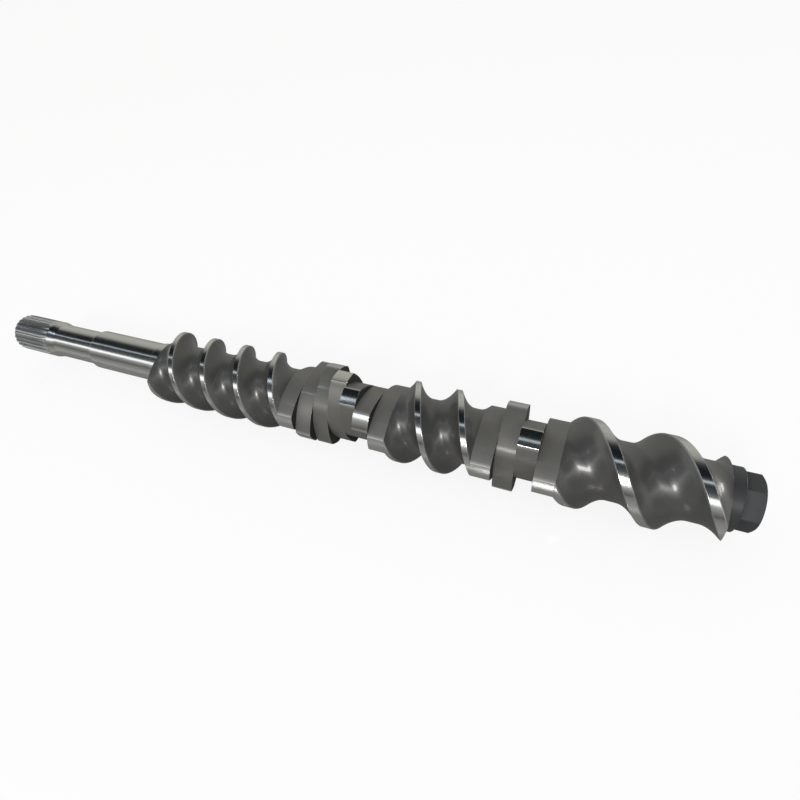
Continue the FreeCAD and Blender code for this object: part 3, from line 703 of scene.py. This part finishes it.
class SCREW_OT_stage(bpy.types.Operator):
    """Make the floor, the lamps, the world and the camera"""
    bl_idname = "screw.stage"
    bl_label = "Stage"

    def execute(self, context):
        look, scene = context.scene.screw_stage_look, context.scene
        self.add_floor(look)
        self.add_world(scene)
        self.add_lamps()
        self.add_camera(look, scene)
        scene.view_settings.view_transform = "Standard"
        return {"FINISHED"}

    def add_floor(self, look):
        """Square floor under the screw."""
        mesh = bpy.data.meshes.new("floor")
        half = 6.0
        mesh.from_pydata([(-half, -half, 0), (half, -half, 0), (half, half, 0),
                          (-half, half, 0)], [], [(0, 1, 2, 3)])
        material = bpy.data.materials.new("pale_floor")
        material.use_nodes = True
        tree = material.node_tree
        shader = tree.nodes["Principled BSDF"]
        shader.inputs["Roughness"].default_value = 0.16
        shader.inputs["Specular IOR Level"].default_value = 0.5
        glow = tree.nodes.new("ShaderNodeEmission")
        path = tree.nodes.new("ShaderNodeLightPath")
        amount = tree.nodes.new("ShaderNodeMath")
        amount.operation = "MULTIPLY"
        link(tree, path, "Is Camera Ray", amount, 0)
        amount.inputs[1].default_value = 0.86
        shade = tree.nodes.new("ShaderNodeMix")
        shade.data_type = "RGBA"
        shade.inputs[6].default_value = (*look.floor, 1)
        shade.inputs[7].default_value = (0.95, 0.95, 0.95, 1)
        link(tree, path, "Is Camera Ray", shade, "Factor")
        tree.links.new(shade.outputs[2], shader.inputs["Base Color"])
        mix = tree.nodes.new("ShaderNodeMixShader")
        link(tree, amount, 0, mix, 0)
        tree.links.new(shader.outputs[0], mix.inputs[1])
        tree.links.new(glow.outputs[0], mix.inputs[2])
        tree.links.new(mix.outputs[0], tree.nodes["Material Output"].inputs["Surface"])
        mesh.materials.append(material)
        floor = bpy.data.objects.new("floor", mesh)
        bpy.context.scene.collection.objects.link(floor)

    def add_world(self, scene):
        """World that is white where it is seen or mirrored and a plain grey light elsewhere."""
        world = bpy.data.worlds.new("studio")
        world.use_nodes = True
        scene.world = world
        tree = world.node_tree
        background = tree.nodes["Background"]
        path = tree.nodes.new("ShaderNodeLightPath")
        seen = tree.nodes.new("ShaderNodeMath")
        seen.operation = "MAXIMUM"
        link(tree, path, "Is Camera Ray", seen, 0)
        link(tree, path, "Is Glossy Ray", seen, 1)
        every = tree.nodes.new("ShaderNodeMath")
        every.operation = "MAXIMUM"
        link(tree, seen, 0, every, 0)
        link(tree, path, "Is Transmission Ray", every, 1)
        mix = tree.nodes.new("ShaderNodeMix")
        mix.data_type = "RGBA"
        mix.inputs[6].default_value = (0.7, 0.7, 0.7, 1)
        mix.inputs[7].default_value = (1, 1, 1, 1)
        tree.links.new(every.outputs[0], mix.inputs["Factor"])
        tree.links.new(mix.outputs[2], background.inputs["Color"])

    def add_card(self, name, low, high, distance, shade, half=7.0):
        """Long card parallel to the screw, between two directions round its axis, that only
        mirrors and glossy surfaces see."""
        edges = np.radians([low, high])
        near = np.stack([distance * np.cos(edges), AXIS_HEIGHT + distance * np.sin(edges)], 1)
        corners = [(-half, *near[0]), (half, *near[0]), (half, *near[1]), (-half, *near[1])]
        mesh = bpy.data.meshes.new(name)
        mesh.from_pydata(corners, [], [(0, 1, 2, 3)])
        material = bpy.data.materials.new(name)
        material.use_nodes = True
        tree = material.node_tree
        glow = tree.nodes.new("ShaderNodeEmission")
        glow.inputs["Color"].default_value = (*shade, 1)
        tree.links.new(glow.outputs[0], tree.nodes["Material Output"].inputs["Surface"])
        mesh.materials.append(material)
        card = bpy.data.objects.new(name, mesh)
        bpy.context.scene.collection.objects.link(card)
        card.visible_camera = False
        card.visible_shadow = False
        card.visible_diffuse = False

    def add_lamp(self, name, azimuth, elevation, distance, size, brightness, tint):
        """Square soft lamp that faces the screw. Azimuth is turned from -Y towards +X."""
        lamp = bpy.data.lights.new(name, "AREA")
        lamp.shape = "SQUARE"
        lamp.size = size
        lamp.energy = math.pi * size ** 2 * brightness
        lamp.color = tint
        azimuth, elevation = math.radians(azimuth), math.radians(elevation)
        away = Vector((math.sin(azimuth) * math.cos(elevation),
                       -math.cos(azimuth) * math.cos(elevation), math.sin(elevation)))
        target = Vector((0, 0, AXIS_HEIGHT))
        holder = bpy.data.objects.new(name, lamp)
        holder.matrix_world = (Matrix.Translation(target + away * distance)
                               @ away.to_track_quat("Z", "Y").to_matrix().to_4x4())
        bpy.context.scene.collection.objects.link(holder)

    def add_lamps(self):
        """Cards and lamps round the screw."""
        for index, (low, high, shade) in enumerate(STRIPS):
            self.add_card(f"card_{index}", low, high, STRIP_DISTANCE, shade)
        self.add_lamp("key", 2, 32.5, 3.2, 0.72, 24, (1.0, 0.99, 0.97))
        self.add_lamp("high", -57, 57, 2.4, 0.1, 34, (0.72, 0.9, 1.0))
        self.add_lamp("side", 122, 4.5, 2.3, 0.3, 14, (1.0, 0.97, 0.92))

    def add_camera(self, look, scene):
        """Camera from its yaw, pitch and roll."""
        yaw, pitch, roll = look.yaw, look.pitch, look.roll
        ahead = Vector((-math.sin(yaw) * math.cos(pitch), math.cos(yaw) * math.cos(pitch),
                        -math.sin(pitch)))
        level = Vector((math.cos(yaw), math.sin(yaw), 0))
        upright = level.cross(ahead)
        right = math.cos(roll) * level + math.sin(roll) * upright
        above = -math.sin(roll) * level + math.cos(roll) * upright
        data = bpy.data.cameras.new("camera")
        data.lens = look.lens
        data.sensor_width = 36
        data.clip_start = 0.01
        camera = bpy.data.objects.new("camera", data)
        turned = Matrix((right, above, -ahead)).transposed().to_4x4()
        camera.matrix_world = Matrix.Translation(Vector(look.eye)) @ turned
        scene.collection.objects.link(camera)
        scene.camera = camera


class SCREW_PT_panel(bpy.types.Panel):
    """Lists the operators and the sizes they use"""
    bl_idname = "SCREW_PT_panel"
    bl_label = "Extruder screw"
    bl_space_type = "VIEW_3D"
    bl_region_type = "UI"
    bl_category = "Extruder screw"

    def draw(self, context):
        for operator in OPERATORS:
            self.layout.operator(operator.bl_idname)
        for label in GROUPS:
            group = getattr(context.scene, label)
            box = self.layout.box()
            box.label(text=group.bl_rna.description)
            for key in group.__annotations__:
                box.prop(group, key)


GROUPS = {
    "screw_element_sizes": ScrewElementSizes,
    "screw_shaft_sizes": ScrewShaftSizes,
    "screw_clamp_sizes": ScrewClampSizes,
    "screw_finishes": ScrewFinishes,
    "screw_stage_look": ScrewStageLook,
}
OPERATORS = (SCREW_OT_shaft, SCREW_OT_conveying, SCREW_OT_kneading, SCREW_OT_washer,
             SCREW_OT_bolt, SCREW_OT_stage)


def register():
    for group in GROUPS.values():
        bpy.utils.register_class(group)
    for label, group in GROUPS.items():
        setattr(bpy.types.Scene, label, PointerProperty(type=group))
    for part in (*OPERATORS, SCREW_PT_panel):
        bpy.utils.register_class(part)


def unregister():
    for part in (SCREW_PT_panel, *reversed(OPERATORS)):
        bpy.utils.unregister_class(part)
    for label in GROUPS:
        delattr(bpy.types.Scene, label)
    for group in reversed(GROUPS.values()):
        bpy.utils.unregister_class(group)


def main():
    """Make every piece and the stage."""
    register()
    bpy.ops.screw.shaft()
    bpy.ops.screw.conveying()
    bpy.ops.screw.kneading()
    bpy.ops.screw.washer()
    bpy.ops.screw.bolt()
    bpy.ops.screw.stage()


if __name__ == "__main__":
    main()
